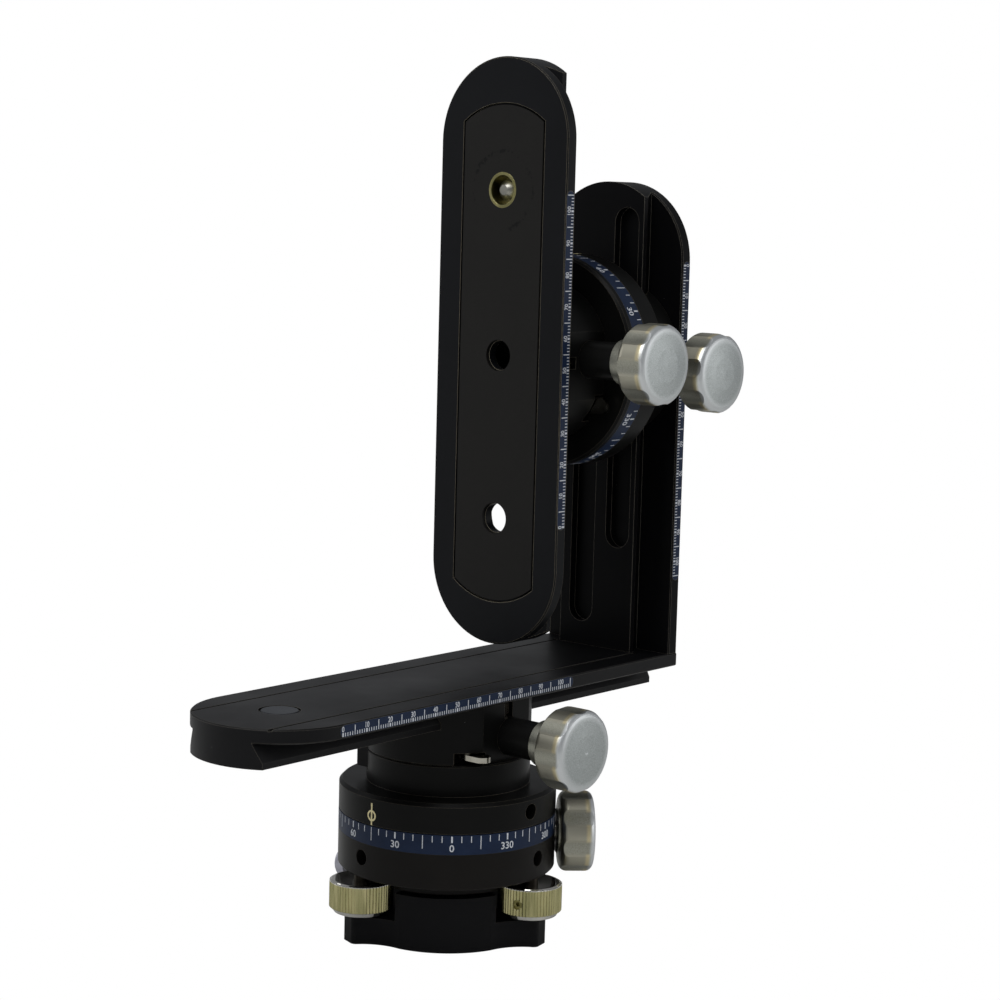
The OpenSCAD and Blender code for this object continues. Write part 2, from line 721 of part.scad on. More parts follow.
// Half width of the dovetail at a height over its foot
dove_slope = (dove_foot - dove_neck) / (dove_h - foot_h);
function dove_half(z) = min(dove_foot, dove_neck + (dove_h - z) * dove_slope);

// Screws from the slot's floor into what carries the clamp
bolt_head_h = bolt_head_r - bolt_r;

module bolt_holes() {
  for (side = [-1, 1]) translate([side * bolt_x, 0, -bolt_foot - seat_gap])
    cylinder(r = bolt_r + seat_gap, h = bolt_len + seat_gap + overrun);
}

module clamp_bolts(h) {
  top = h + flange_gap - dove_h - 2 * slide_gap;
  color("#3a3a3c") for (side = [-1, 1]) translate([side * bolt_x, 0, 0]) difference() {
    union() {
      translate([0, 0, -bolt_foot]) cylinder(r = bolt_r, h = bolt_foot + top - bolt_head_h);
      translate([0, 0, top - bolt_head_h]) cylinder(r1 = bolt_r, r2 = bolt_head_r, h = bolt_head_h);
    }
    translate([0, 0, top]) hex_socket(bolt_r / 2, bolt_r);
  }
}

// Clamp body: a short cylinder with the front flat, the fixed jaw, the lever's notch,
// and the recess and bore of the stop pin
socket_z = lever_z + lever_t;
pin_shank_r = 0.56 * pin_r;
pin_top_gap = 0.8;
pin_shank_len = pin_travel + 1;

function pin_head_z(h) = h - pin_top_gap - pin_head_h;

module dowels(extra) {
  for (side = [-1, 1]) translate([side * bolt_x, rear_y - dowel_len - extra, rod_z_b])
    rotate([-90, 0, 0]) cylinder(r = dowel_r + extra, h = dowel_len + 2 * extra + jaw_t / 2);
}

module clamp_body(h, rod_z) {
  floor_z = h + flange_gap - dove_h - slide_gap;
  knee_z = h + flange_gap - dove_h + foot_h;
  color("#1a1b1e") difference() {
    bevelled_disc(clamp_r, h, edge_bevel);
    translate([-clamp_r, -flat_y - clamp_r, -overrun]) cube([2 * clamp_r, clamp_r, h + 2 * overrun]);
    translate([-clamp_r, rear_y, -overrun]) cube([2 * clamp_r, clamp_r, h + 2 * overrun]);
    translate([-clamp_r, 0, 0]) rotate([90, 0, 90]) linear_extrude(2 * clamp_r) polygon([
      [-dove_foot - slide_gap, floor_z], [-dove_foot - slide_gap, knee_z],
      [-dove_half(dove_h - flange_gap) - slide_gap, h],
      [-dove_half(dove_h - flange_gap) - slide_gap, h + overrun],
      [clamp_r, h + overrun], [clamp_r, floor_z]
    ]);
    translate([knob_x, -flat_y - overrun, rod_z]) rotate([-90, 0, 0])
      cylinder(r = stem_r + seat_gap, h = stem_seat + overrun);
    translate([knob_x, -clamp_r, rod_z]) rotate([-90, 0, 0])
      cylinder(r = rod_r + run_gap, h = 2 * clamp_r);
    dowels(run_gap);
    for (side = [-1, 1]) translate([side * bolt_x, 0, 0]) {
      translate([0, 0, -overrun]) cylinder(r = bolt_r + seat_gap, h = h);
      translate([0, 0, floor_z - slide_gap - bolt_head_h])
        cylinder(r1 = bolt_r + seat_gap, r2 = bolt_head_r + seat_gap, h = bolt_head_h);
      translate([0, 0, floor_z - slide_gap]) cylinder(r = bolt_head_r + seat_gap, h = overrun);
    }
    translate([-lever_x - 2 * lever_half_w, -clamp_r, -overrun])
      cube([3 * lever_half_w + 2 * loose_gap, clamp_r - lever_y + lever_half_w + loose_gap, notch_h + overrun]);
    translate([-lever_x, -lever_y, 0]) cylinder(r = lever_pin_r + run_gap, h = 2 * notch_h);
    translate([pin_x - pin_r - loose_gap, -clamp_r, pin_head_z(h) - pin_travel - loose_gap])
      cube([2 * (pin_r + loose_gap), clamp_r - pin_y + pin_r + loose_gap, h]);
    translate([pin_x, -pin_y, pin_head_z(h) - pin_shank_len - pin_travel - loose_gap])
      cylinder(r = pin_shank_r + run_gap, h = h);
  }
}

// Stem between a clamp and its knob
module clamp_stem(rod_z, stem) {
  color("#131316") translate([knob_x, -flat_y + stem_seat, rod_z]) rotate([90, 0, 0]) difference() {
    bevelled_disc(stem_r, stem + stem_seat, edge_bevel);
    translate([0, 0, -overrun]) cylinder(r = rod_r + run_gap, h = stem + stem_seat + 2 * overrun);
  }
}

// Knob and screw rod of a clamp, behind a stem of a known length
module clamp_knob(rod_z, stem, turn) {
  knob_y = flat_y + stem + run_gap;
  color("#b4b8b8") translate([knob_x, -knob_y, rod_z]) rotate([90, 0, 0]) difference() {
    turned_knob(collar_len, turn);
    translate([0, 0, -overrun]) cylinder(r = rod_r + seat_gap, h = collar_len + rod_grip + overrun);
  }
}

jaw_in = rear_y + 2 * run_gap;
jaw_out = jaw_in + jaw_t;

module clamp_rod(rod_z, stem) {
  rod_len = flat_y + stem + run_gap + collar_len + rod_grip + jaw_out - loose_gap;
  color("silver") translate([knob_x, jaw_out - loose_gap, rod_z]) rotate([90, 0, 0])
    cylinder(r = rod_r, h = rod_len);
}

// Moving jaw with its two guide dowels; the flank has the dovetail's slope
module clamp_jaw(h, rod_z, low) {
  flank_top = dove_half(dove_h - flange_gap) + slide_gap;
  flank_run = jaw_in - flank_top;
  color("#1a1b1e") {
    difference() {
      translate([-jaw_half, 0, 0]) rotate([90, 0, 90]) linear_extrude(2 * jaw_half) polygon([
        [jaw_in, low], [jaw_out - edge_bevel, low], [jaw_out, low + edge_bevel],
        [jaw_out, h - edge_bevel], [jaw_out - edge_bevel, h], [flank_top, h],
        [jaw_in, h - flank_run / dove_slope]
      ]);
      translate([knob_x, rear_y - overrun, rod_z]) rotate([-90, 0, 0])
        cylinder(r = rod_r + run_gap, h = jaw_t + 2 * overrun);
    }
    dowels(0);
  }
}

// Lever with its pivot pin
module clamp_lever() {
  reach = lever_tip - lever_half_w - lever_y;
  color("#d6d8d4") translate([-lever_x, -lever_y, lever_z]) {
    cylinder(r = lever_half_w, h = lever_t);
    translate([0, -reach, 0]) cylinder(r = lever_half_w, h = lever_t);
    translate([-lever_half_w, -reach, 0]) cube([2 * lever_half_w, reach, lever_t]);
    cylinder(r = lever_pin_r, h = 2 * notch_h - lever_z - loose_gap);
  }
}

// Sprung stop pin with a knurled head
pin_teeth = 20;

module clamp_stop_pin(h) {
  color("#77797a") translate([pin_x, -pin_y, pin_head_z(h)]) {
    knurled_rod(pin_r, pin_head_h, pin_teeth, pin_r / 10);
    translate([0, 0, -pin_shank_len]) cylinder(r = pin_shank_r, h = pin_shank_len + overrun);
  }
}

// Rail blank: the foot of the dovetail is z = 0, the length runs along X from a round end
module rail_outline(length, ends) {
  translate([rail_half_w, 0]) circle(rail_half_w);
  if (ends == 2) translate([length - rail_half_w, 0]) circle(rail_half_w);
  translate([rail_half_w, -rail_half_w]) square([length - ends * rail_half_w, 2 * rail_half_w]);
}

function flange_half() = [
  [0, dove_h], [rail_half_w - edge_bevel, dove_h], [rail_half_w, dove_h + edge_bevel],
  [rail_half_w, rail_t - edge_bevel], [rail_half_w - edge_bevel, rail_t], [0, rail_t]
];

module rail_blank(length, ends) {
  flange_run = length - ends * rail_half_w;
  translate([rail_half_w, 0, 0]) rotate_extrude() polygon(flange_half());
  if (ends == 2) translate([length - rail_half_w, 0, 0]) rotate_extrude() polygon(flange_half());
  translate([rail_half_w, 0, 0]) rotate([90, 0, 90]) linear_extrude(flange_run) {
    polygon(flange_half());
    mirror([1, 0]) polygon(flange_half());
  }
  intersection() {
    linear_extrude(rail_t) rail_outline(length, ends);
    rotate([90, 0, 90]) linear_extrude(length) polygon([
      [-dove_neck, dove_h + flange_t / 2], [-dove_neck, dove_h], [-dove_foot, foot_h],
      [-dove_foot, 0], [dove_foot, 0], [dove_foot, foot_h], [dove_neck, dove_h],
      [dove_neck, dove_h + flange_t / 2]
    ]);
  }
}

// Blue strip in the front edge of a blank, and the slot that it lies in
module strip(start, length, extra) {
  r = strip_h / 2;
  translate([start, -rail_half_w, rail_t - strip_margin - r]) rotate([90, 0, 0])
    translate([0, 0, -inlay_t - extra]) linear_extrude(inlay_t + extra + (extra > 0 ? overrun : 0)) {
      translate([r, 0]) circle(r + extra);
      translate([length - r, 0]) circle(r + extra);
      translate([r, -r - extra]) square([length - 2 * r, 2 * (r + extra)]);
    }
}

// Two shallow grooves along the face of a blank
module face_grooves(start, length) {
  for (side = [-1, 1])
    translate([start, side * face_groove_y - face_groove_w / 2, rail_t - face_groove_depth])
      cube([length, face_groove_w, face_groove_depth + overrun]);
}

// Long rail under the upright
module at_rail() { translate([rail_reach - rail_len, 0, rail_z]) children(); }

module joint_screws(extra) {
  for (side = [-1, 1]) translate([rail_reach - rail_t / 2, side * joint_screw_y, rail_z]) {
    translate([0, 0, -extra]) cylinder(r1 = joint_head_r + extra, r2 = joint_screw_r + extra,
      h = joint_head_r - joint_screw_r + extra);
    cylinder(r = joint_screw_r + extra, h = joint_screw_len + extra);
  }
}

module rail() {
  color("#1d1f22") difference() {
    at_rail() difference() {
      rail_blank(rail_len, 1);
      strip(rail_strip_start, rail_strip_len, seat_gap);
      face_grooves(-overrun, rail_len - rail_t + overrun);
      translate([rail_half_w, 0, rail_t - plug_depth]) cylinder(r = plug_r + seat_gap, h = rail_t);
      translate([rail_half_w, 0, rail_t - plug_groove]) cylinder(r = plug_r + plug_groove, h = rail_t);
    }
    joint_screws(seat_gap);
  }
}

module rail_scale() { color("#28406c") at_rail() strip(rail_strip_start, rail_strip_len, 0); }

module rail_plug() {
  color("#141517") at_rail() translate([rail_half_w, 0, rail_t - plug_depth + seat_gap])
    bevelled_disc(plug_r, plug_depth - seat_gap, edge_bevel / 2);
}

// Upright, on the rail's end, with its dovetail towards the pan axis
module at_upright() { translate([upright_x, 0, rail_top + upright_len]) rotate([0, 90, 0]) children(); }

module upright_pocket(foot, y) {
  r = pocket_w / 2;
  translate([upright_len - foot - pocket_len, y, -overrun]) {
    translate([r, 0, 0]) cylinder(r = r, h = pocket_depth + overrun);
    translate([pocket_len - r, 0, 0]) cylinder(r = r, h = pocket_depth + overrun);
    translate([r, -r, 0]) cube([pocket_len - 2 * r, 2 * r, pocket_depth + overrun]);
  }
}

module upright() {
  color("#1d1f22") difference() {
    at_upright() difference() {
      rail_blank(upright_len, 1);
      strip(upright_strip_start, upright_strip_len, seat_gap);
      upright_pocket(low_pocket_z, low_pocket_y);
      upright_pocket(high_pocket_z, -high_pocket_y);
    }
    joint_screws(seat_gap);
  }
}

module upright_scale() { color("#28406c") at_upright() strip(upright_strip_start, upright_strip_len, 0); }

module upright_screws() { color("#3a3a3c") joint_screws(0); }

// Index ring of the tilt rotator, with the spindle's seat
module tilt_index_ring() {
  neck_z = index_ring_t;
  back = index_ring_t + tilt_neck;
  color("#17181b") translate([index_ring_x, 0, tilt_z]) rotate([0, 90, 0]) difference() {
    rotate_extrude() polygon([
      [0, 0], [ring_r, 0], [ring_r, neck_z - ring_bevel], [ring_r - ring_bevel, neck_z],
      [clamp_r, neck_z], [clamp_r, back], [0, back]
    ]);
    translate([0, 0, -overrun]) cylinder(r = tilt_spindle_r + seat_gap, h = back + 2 * overrun);
    translate([0, 0, back - tilt_head_t]) cylinder(r = tilt_nut_r + seat_gap, h = tilt_head_t + overrun);
    translate([0, 0, back]) bolt_holes_to(back);
  }
}

// Holes for the clamp screws in a ring of a known depth
module bolt_holes_to(depth) {
  for (side = [-1, 1]) translate([side * bolt_x, 0, -depth - overrun])
    cylinder(r = bolt_r + seat_gap, h = depth + 2 * overrun);
}

nut_x = plate_clamp_x + loose_gap;

module tilt_spindle() {
  head_x = unit_clamp_x - tilt_head_t + seat_gap;
  shoulder_x = nut_x + tilt_nut_t;
  color("#8d8f90") translate([0, 0, tilt_z]) rotate([0, 90, 0]) {
    translate([0, 0, head_x]) cylinder(r = tilt_nut_r, h = tilt_head_t - seat_gap);
    translate([0, 0, shoulder_x]) cylinder(r = tilt_spindle_r, h = head_x - shoulder_x + overrun);
    translate([0, 0, nut_x]) cylinder(r = tilt_thread_r, h = tilt_nut_t + overrun);
  }
}

module tilt_nut() {
  color("#8d8f90") translate([nut_x, 0, tilt_z]) rotate([0, 90, 0]) difference() {
    cylinder(r = tilt_nut_r, h = tilt_nut_t);
    translate([0, 0, -overrun]) cylinder(r = tilt_thread_r + seat_gap, h = tilt_nut_t + 2 * overrun);
  }
}

// Scale ring of the tilt rotator, on the side of the camera plate
scale_bevel = 0.8;

module tilt_scale_ring() {
  band_x = scale_ring_t - band_h;
  nut_room = nut_x + tilt_nut_t + run_gap - plate_clamp_x;
  color("#17181b") translate([plate_clamp_x, 0, tilt_z]) rotate([0, 90, 0]) difference() {
    rotate_extrude() polygon([
      [0, 0], [ring_r - scale_bevel, 0], [ring_r, scale_bevel], [ring_r, band_x - seat_gap],
      [band_in - seat_gap, band_x - seat_gap], [band_in - seat_gap, scale_ring_t], [0, scale_ring_t]
    ]);
    translate([0, 0, -overrun]) cylinder(r = tilt_spindle_r + run_gap, h = scale_ring_t + 2 * overrun);
    translate([0, 0, -overrun]) cylinder(r = tilt_nut_r + loose_gap, h = nut_room + overrun);
    translate([0, 0, scale_ring_t]) bolt_holes_to(scale_ring_t);
  }
}

module tilt_scale() {
  color("#28406c") translate([plate_clamp_x + scale_ring_t - band_h, 0, tilt_z]) rotate([0, 90, 0])
    difference() {
      cylinder(r = ring_r, h = band_h);
      translate([0, 0, -overrun]) cylinder(r = band_in, h = band_h + 2 * overrun);
    }
}

// Camera plate, with its dovetail towards the tilt axis
module at_plate() { translate([plate_x, 0, plate_z]) rotate([0, -90, 0]) children(); }

module pad_outline(extra) {
  low = hole_mid - hole_pitch;
  half = pad_half_w + extra;
  end_r = pad_end_r + extra;
  intersection() {
    translate([0, -half]) square([plate_len, 2 * half]);
    union() {
      translate([low, 0]) circle(end_r);
      translate([low + 2 * hole_pitch, 0]) circle(end_r);
      translate([low, -half]) square([2 * hole_pitch, 2 * half]);
    }
  }
}

module plate_holes(r, z0, z1) {
  for (x = [hole_mid - hole_pitch, hole_mid]) translate([x, 0, z0]) cylinder(r = r, h = z1 - z0);
}

bush_foot = camera_head_t + 2 * run_gap;

module camera_plate() {
  color("#202226") at_plate() difference() {
    rail_blank(plate_len, 2);
    strip(plate_strip_start, plate_strip_len, seat_gap);
    translate([0, 0, rail_t - pad_t - seat_gap]) linear_extrude(pad_t + overrun) pad_outline(pad_groove);
    plate_holes(hole_r, -overrun, rail_t + overrun);
    plate_holes(relief_r, -overrun, relief_depth);
    translate([hole_mid + hole_pitch, 0, 0]) {
      translate([0, 0, -overrun]) cylinder(r = plate_bush_r + seat_gap, h = rail_t + 2 * overrun);
      translate([0, 0, -overrun]) cylinder(r = camera_head_r + run_gap, h = bush_foot + overrun);
    }
  }
}

module plate_scale() { color("#28406c") at_plate() strip(plate_strip_start, plate_strip_len, 0); }

module plate_pad() {
  color("#2f2d2b") at_plate() difference() {
    translate([0, 0, rail_t - pad_t]) linear_extrude(pad_t) pad_outline(0);
    plate_holes(hole_r + loose_gap, -overrun, rail_t + overrun);
    translate([hole_mid + hole_pitch, 0, 0]) cylinder(r = plate_bush_r + seat_gap, h = 2 * rail_t);
  }
}

module plate_bush() {
  color("#c9c6b0") at_plate() translate([hole_mid + hole_pitch, 0, bush_foot]) difference() {
    cylinder(r = plate_bush_r, h = rail_t - bush_foot);
    translate([0, 0, -overrun]) cylinder(r = hole_r, h = rail_t);
  }
}

// Captive camera screw with a slotted head in the dovetail and a rounded tip
module camera_screw() {
  slot_w = camera_head_r / 5;
  tip_z = rail_t - camera_tip_depth - camera_screw_r / 2;
  color("silver") at_plate() translate([hole_mid + hole_pitch, 0, 0]) {
    difference() {
      translate([0, 0, run_gap]) cylinder(r = camera_head_r, h = camera_head_t);
      translate([-camera_head_r, -slot_w / 2, -overrun]) cube([2 * camera_head_r, slot_w, camera_head_t / 3 + overrun]);
    }
    translate([0, 0, camera_head_t]) cylinder(r = camera_screw_r, h = tip_z - camera_head_t);
    translate([0, 0, tip_z]) cylinder(r1 = camera_screw_r, r2 = camera_screw_r / 2, h = camera_screw_r / 2);
  }
}

base_body();
tripod_bush();
pivot_post();
level_studs();
thumbwheel(0);  // thumbwheel_1
thumbwheel(1);  // thumbwheel_2
thumbwheel(2);  // thumbwheel_3
wheel_grub(0);  // wheel_grub_1
wheel_grub(1);  // wheel_grub_2
wheel_grub(2);  // wheel_grub_3
pivot_knob();
pivot_cup();
pan_base();
pan_scale();
pivot_cap();
pan_knob();
pan_screw();
pan_ring();
pan_spindle();
at_rail_clamp() clamp_body(clamp_h, rod_z_a);  // rail_clamp_body
at_rail_clamp() clamp_stem(rod_z_a, stem_len);  // rail_clamp_stem
at_rail_clamp() clamp_bolts(clamp_h);  // rail_clamp_bolts
at_rail_clamp() clamp_stop_pin(clamp_h);  // rail_clamp_stop_pin
at_rail_clamp() clamp_jaw(clamp_h, rod_z_a, -jaw_skirt);  // rail_clamp_jaw
at_rail_clamp() clamp_knob(rod_z_a, stem_len, rail_knob_turn);  // rail_clamp_knob
at_rail_clamp() clamp_rod(rod_z_a, stem_len);  // rail_clamp_rod
at_rail_clamp() clamp_lever();  // rail_clamp_lever
rail();
rail_scale();
rail_plug();
upright();
upright_scale();
upright_screws();
tilt_index_ring();
tilt_spindle();
tilt_nut();
at_unit_clamp() clamp_body(clamp_h, rod_z_b);  // unit_clamp_body
at_unit_clamp() clamp_stem(rod_z_b, unit_stem_len);  // unit_clamp_stem
at_unit_clamp() clamp_bolts(clamp_h);  // unit_clamp_bolts
at_unit_clamp() clamp_stop_pin(clamp_h);  // unit_clamp_stop_pin
at_unit_clamp() clamp_jaw(clamp_h, rod_z_b, loose_gap);  // unit_clamp_jaw
at_unit_clamp() clamp_knob(rod_z_b, unit_stem_len, unit_knob_turn);  // unit_clamp_knob
at_unit_clamp() clamp_rod(rod_z_b, unit_stem_len);  // unit_clamp_rod
at_unit_clamp() clamp_lever();  // unit_clamp_lever
tilt_scale_ring();
tilt_scale();
at_plate_clamp() clamp_body(plate_clamp_h, rod_z_b);  // plate_clamp_body
at_plate_clamp() clamp_stem(rod_z_b, stem_len);  // plate_clamp_stem
at_plate_clamp() clamp_bolts(plate_clamp_h);  // plate_clamp_bolts
at_plate_clamp() clamp_stop_pin(plate_clamp_h);  // plate_clamp_stop_pin
at_plate_clamp() clamp_jaw(plate_clamp_h, rod_z_b, loose_gap);  // plate_clamp_jaw
at_plate_clamp() clamp_knob(rod_z_b, stem_len, plate_knob_turn);  // plate_clamp_knob
at_plate_clamp() clamp_rod(rod_z_b, stem_len);  // plate_clamp_rod
at_plate_clamp() clamp_lever();  // plate_clamp_lever
camera_plate();
plate_scale();
plate_pad();
plate_bush();
camera_screw();
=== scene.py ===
import math

import bmesh
import bpy
from mathutils import Matrix, Vector


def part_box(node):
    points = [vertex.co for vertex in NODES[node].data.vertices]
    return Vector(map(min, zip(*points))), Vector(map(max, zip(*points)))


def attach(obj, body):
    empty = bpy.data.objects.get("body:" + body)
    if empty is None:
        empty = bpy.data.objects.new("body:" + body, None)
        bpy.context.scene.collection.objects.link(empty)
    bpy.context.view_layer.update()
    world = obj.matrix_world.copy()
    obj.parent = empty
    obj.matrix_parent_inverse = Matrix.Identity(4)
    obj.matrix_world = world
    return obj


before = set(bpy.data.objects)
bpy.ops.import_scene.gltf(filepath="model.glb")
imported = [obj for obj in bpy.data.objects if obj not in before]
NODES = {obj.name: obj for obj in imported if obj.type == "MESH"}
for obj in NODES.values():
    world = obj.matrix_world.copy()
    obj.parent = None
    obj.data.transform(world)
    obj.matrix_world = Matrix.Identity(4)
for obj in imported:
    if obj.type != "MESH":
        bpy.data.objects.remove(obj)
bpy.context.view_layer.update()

# Levelling base
# A milled aluminium body with three lobes, bead blasted and dyed black in the anodising
# bath. A steel bush with the tripod's thread is pressed into its underside.

MM = 0.001


def srgb(code):
    """Linear colour of an sRGB hex code, with full alpha."""
    channels = [int(code[i:i + 2], 16) / 255 for i in (1, 3, 5)]
    return [c / 12.92 if c <= 0.04045 else ((c + 0.055) / 1.055) ** 2.4 for c in channels] + [1.0]


def add_node(tree, kind, inputs=None, **settings):
    """Adds one shader node; an input given as a socket is linked, and any other is a value."""
    made = tree.nodes.new(kind)
    for key, value in settings.items():
        setattr(made, key, value)
    for key, value in (inputs or {}).items():
        if isinstance(value, bpy.types.NodeSocket):
            tree.links.new(value, made.inputs[key])
        else:
            made.inputs[key].default_value = value
    return made


def noise(tree, coords, size_mm, detail=2.0, roughness=0.5, distortion=0.0):
    """A noise value whose blotches are about this many millimetres wide."""
    return add_node(tree, "ShaderNodeTexNoise", {
        "Vector": coords, "Scale": 1 / (size_mm * MM), "Detail": detail, "Roughness": roughness,
        "Distortion": distortion}).outputs["Fac"]


def ramp(tree, value, low, high, at_low=0.0, at_high=1.0):
    """A value that runs from at_low to at_high while its input runs from low to high."""
    return add_node(tree, "ShaderNodeMapRange", {
        "Value": value, "From Min": low, "From Max": high, "To Min": at_low,
        "To Max": at_high}).outputs["Result"]


def new_material(name):
    """An empty node material: its tree, its surface output and its object coordinates."""
    material = bpy.data.materials.new(name)
    material.use_nodes = True
    tree = material.node_tree
    tree.nodes.clear()
    output = add_node(tree, "ShaderNodeOutputMaterial")
    coords = add_node(tree, "ShaderNodeTexCoord").outputs["Object"]
    return material, tree, output, coords


def blend_colours(tree, factor, low, high):
    """Mixes two colours by a factor and returns the colour."""
    mix = add_node(tree, "ShaderNodeMix", {0: factor}, data_type="RGBA")
    for socket, value in ((mix.inputs[6], low), (mix.inputs[7], high)):
        if isinstance(value, bpy.types.NodeSocket):
            tree.links.new(value, socket)
        else:
            socket.default_value = value
    return mix.outputs[2]


def dress(material, *names):
    """Puts a material on every slot of the named CAD nodes."""
    for name in names:
        mesh = NODES[name].data
        mesh.materials.clear()
        mesh.materials.append(material)


def black_anodised(name, low, high, rough, grain_mm, specular, edge_wear_and_highlight_tone="#57544e", edge_wear_and_highlight_share=0.4):
    """Bead blasted aluminium, dyed black: a fine even grain under a thin clear oxide, slightly uneven
    in colour, with a few specks of dust, and paler edges that are partly wear and partly painted
    highlight."""
    material, tree, output, coords = new_material(name)
    cloud = noise(tree, coords, 14, 4.0)
    dye = blend_colours(tree, cloud, srgb(low), srgb(high))
    specks = add_node(tree, "ShaderNodeTexVoronoi", {"Vector": coords, "Scale": 1 / (7 * MM)})
    speck = ramp(tree, specks.outputs["Distance"], 0.011, 0.017, 0.7, 0.0)
    dusty = blend_colours(tree, speck, dye, srgb("#8b8c8e"))
    edge = add_node(tree, "ShaderNodeBevel", {"Radius": 0.25 * MM}, samples=6)
    flat = add_node(tree, "ShaderNodeNewGeometry")
    turn = add_node(tree, "ShaderNodeVectorMath", {0: edge.outputs["Normal"], 1: flat.outputs["Normal"]},
                    operation="DOT_PRODUCT")
    # Pale edge tone: partly edge wear and partly a painted highlight along the edges
    worn = ramp(tree, turn.outputs["Value"], 0.88, 0.99, edge_wear_and_highlight_share, 0.0)
    colour = blend_colours(tree, worn, dusty, srgb(edge_wear_and_highlight_tone))
    fine = noise(tree, coords, grain_mm)
    bump = add_node(tree, "ShaderNodeBump", {
        "Height": fine, "Strength": 0.35, "Distance": 0.02 * MM, "Normal": edge.outputs["Normal"]})
    wear = noise(tree, coords, 30, 3.0)
    roughness = ramp(tree, wear, 0.3, 0.7, rough - 0.05, rough + 0.06)
    shader = add_node(tree, "ShaderNodeBsdfPrincipled", {
        "Base Color": colour, "Roughness": roughness, "Normal": bump.outputs["Normal"],
        "IOR": 1.5, "Specular IOR Level": specular})
    tree.links.new(shader.outputs["BSDF"], output.inputs["Surface"])
    return material


# Grain 0.3 mm wide stands for the real 0.1 mm, which is too fine to show
blasted_black = black_anodised("blasted_black_anodised", "#0d0d0f", "#131315", 0.4, 0.3, 0.1)


def bright_metal(name, low, high, rough, grain_mm, grain_depth):
    """Bare metal, turned or blasted: its colour and gloss vary a little with the grain."""
    material, tree, output, coords = new_material(name)
    grain = noise(tree, coords, grain_mm, 3.0)
    cloud = noise(tree, coords, 9)
    both = add_node(tree, "ShaderNodeMath", {0: grain, 1: cloud}, operation="ADD")
    spread = ramp(tree, both.outputs["Value"], 0.7, 1.3)
    colour = blend_colours(tree, spread, srgb(low), srgb(high))
    edge = add_node(tree, "ShaderNodeBevel", {"Radius": 0.2 * MM}, samples=4)
    bump = add_node(tree, "ShaderNodeBump", {
        "Height": grain, "Strength": 0.4, "Distance": grain_depth * MM,
        "Normal": edge.outputs["Normal"]})
    roughness = ramp(tree, cloud, 0.3, 0.7, rough - 0.04, rough + 0.05)
    shader = add_node(tree, "ShaderNodeBsdfPrincipled", {
        "Base Color": colour, "Metallic": 1.0, "Roughness": roughness, "Normal": bump.outputs["Normal"]})
    tree.links.new(shader.outputs["BSDF"], output.inputs["Surface"])
    return material


turned_steel = bright_metal("turned_steel", "#8d8c86", "#b5b3aa", 0.28, 0.25, 0.01)
dress(blasted_black, "base_body")
dress(turned_steel, "tripod_bush", "pivot_post")

# Levelling wheels
# Three thumbwheels turned from brass bar, with a straight knurl and polished ends. The
# thin nickel plate lets the brass show through. A grub screw locks each wheel on its
# stud.


def plated_wheel(name, disc_z, disc_top):
    """Nickel plated brass: warm and satin on the knurl, and a cool mirror on the bevel below,
    on the rim and in the dish."""
    material, tree, output, coords = new_material(name)
    place = add_node(tree, "ShaderNodeSeparateXYZ", {"Vector": coords})
    low = ramp(tree, place.outputs["Z"], disc_z + 1.4 * MM, disc_z + 1.55 * MM)
    high = ramp(tree, place.outputs["Z"], disc_top - 0.75 * MM, disc_top - 0.6 * MM, 1.0, 0.0)
    zone = add_node(tree, "ShaderNodeMath", {0: low, 1: high}, operation="MULTIPLY")
    grain = noise(tree, coords, 0.3, 3.0)
    cloud = noise(tree, coords, 4)
    tall = add_node(tree, "ShaderNodeVectorMath", {0: coords, 1: (1.0, 1.0, 0.15)}, operation="MULTIPLY")
    streak = noise(tree, tall.outputs["Vector"], 1.6)
    worn = ramp(tree, streak, 0.3, 0.7)
    warm = blend_colours(tree, worn, srgb("#a19e70"), srgb("#cdc596"))
    cool = blend_colours(tree, cloud, srgb("#c9c7c2"), srgb("#e6e4de"))
    colour = blend_colours(tree, zone.outputs["Value"], cool, warm)
    edge = add_node(tree, "ShaderNodeBevel", {"Radius": 0.35 * MM}, samples=6)
    bump = add_node(tree, "ShaderNodeBump", {
        "Height": grain, "Strength": 0.3, "Distance": 0.006 * MM, "Normal": edge.outputs["Normal"]})
    roughness = ramp(tree, zone.outputs["Value"], 0.0, 1.0, 0.05, 0.26)
    shader = add_node(tree, "ShaderNodeBsdfPrincipled", {
        "Base Color": colour, "Metallic": 1.0, "Roughness": roughness, "Normal": bump.outputs["Normal"]})
    tree.links.new(shader.outputs["BSDF"], output.inputs["Surface"])
    return material


# The small boss under a wheel isn't part of its bevelled disc
BOSS_H = 1.15 * MM
for wheel in ("thumbwheel_1", "thumbwheel_2", "thumbwheel_3"):
    wheel_low, wheel_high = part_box(wheel)
    dress(plated_wheel("nickel_plated_" + wheel, wheel_low.z + BOSS_H, wheel_high.z), wheel)


def black_oxide(name):
    """Screw steel with a black oxide skin: dark, slightly brown and oily."""
    material, tree, output, coords = new_material(name)
    cloud = noise(tree, coords, 1.5, 3.0)
    colour = blend_colours(tree, cloud, srgb("#1c1a18"), srgb("#3a3630"))
    shader = add_node(tree, "ShaderNodeBsdfPrincipled", {
        "Base Color": colour, "Metallic": 1.0, "Roughness": 0.35})
    tree.links.new(shader.outputs["BSDF"], output.inputs["Surface"])
    return material


screw_black = black_oxide("black_oxide_steel")
dress(screw_black, "level_studs")
dress(bright_metal("yellow_passivated_steel", "#5d5936", "#9a945f", 0.3, 0.6, 0.02), "wheel_grub_1",
      "wheel_grub_2", "wheel_grub_3")

# Pivot
# A steel ball on a post carries the pan rotator in a moulded acetal cup, under a black
# cap. A small silver knob at the back locks the post.

silver_blasted = bright_metal("silver_blasted_anodised", "#b4b4c0", "#c9c9d3", 0.4, 0.35, 0.01)


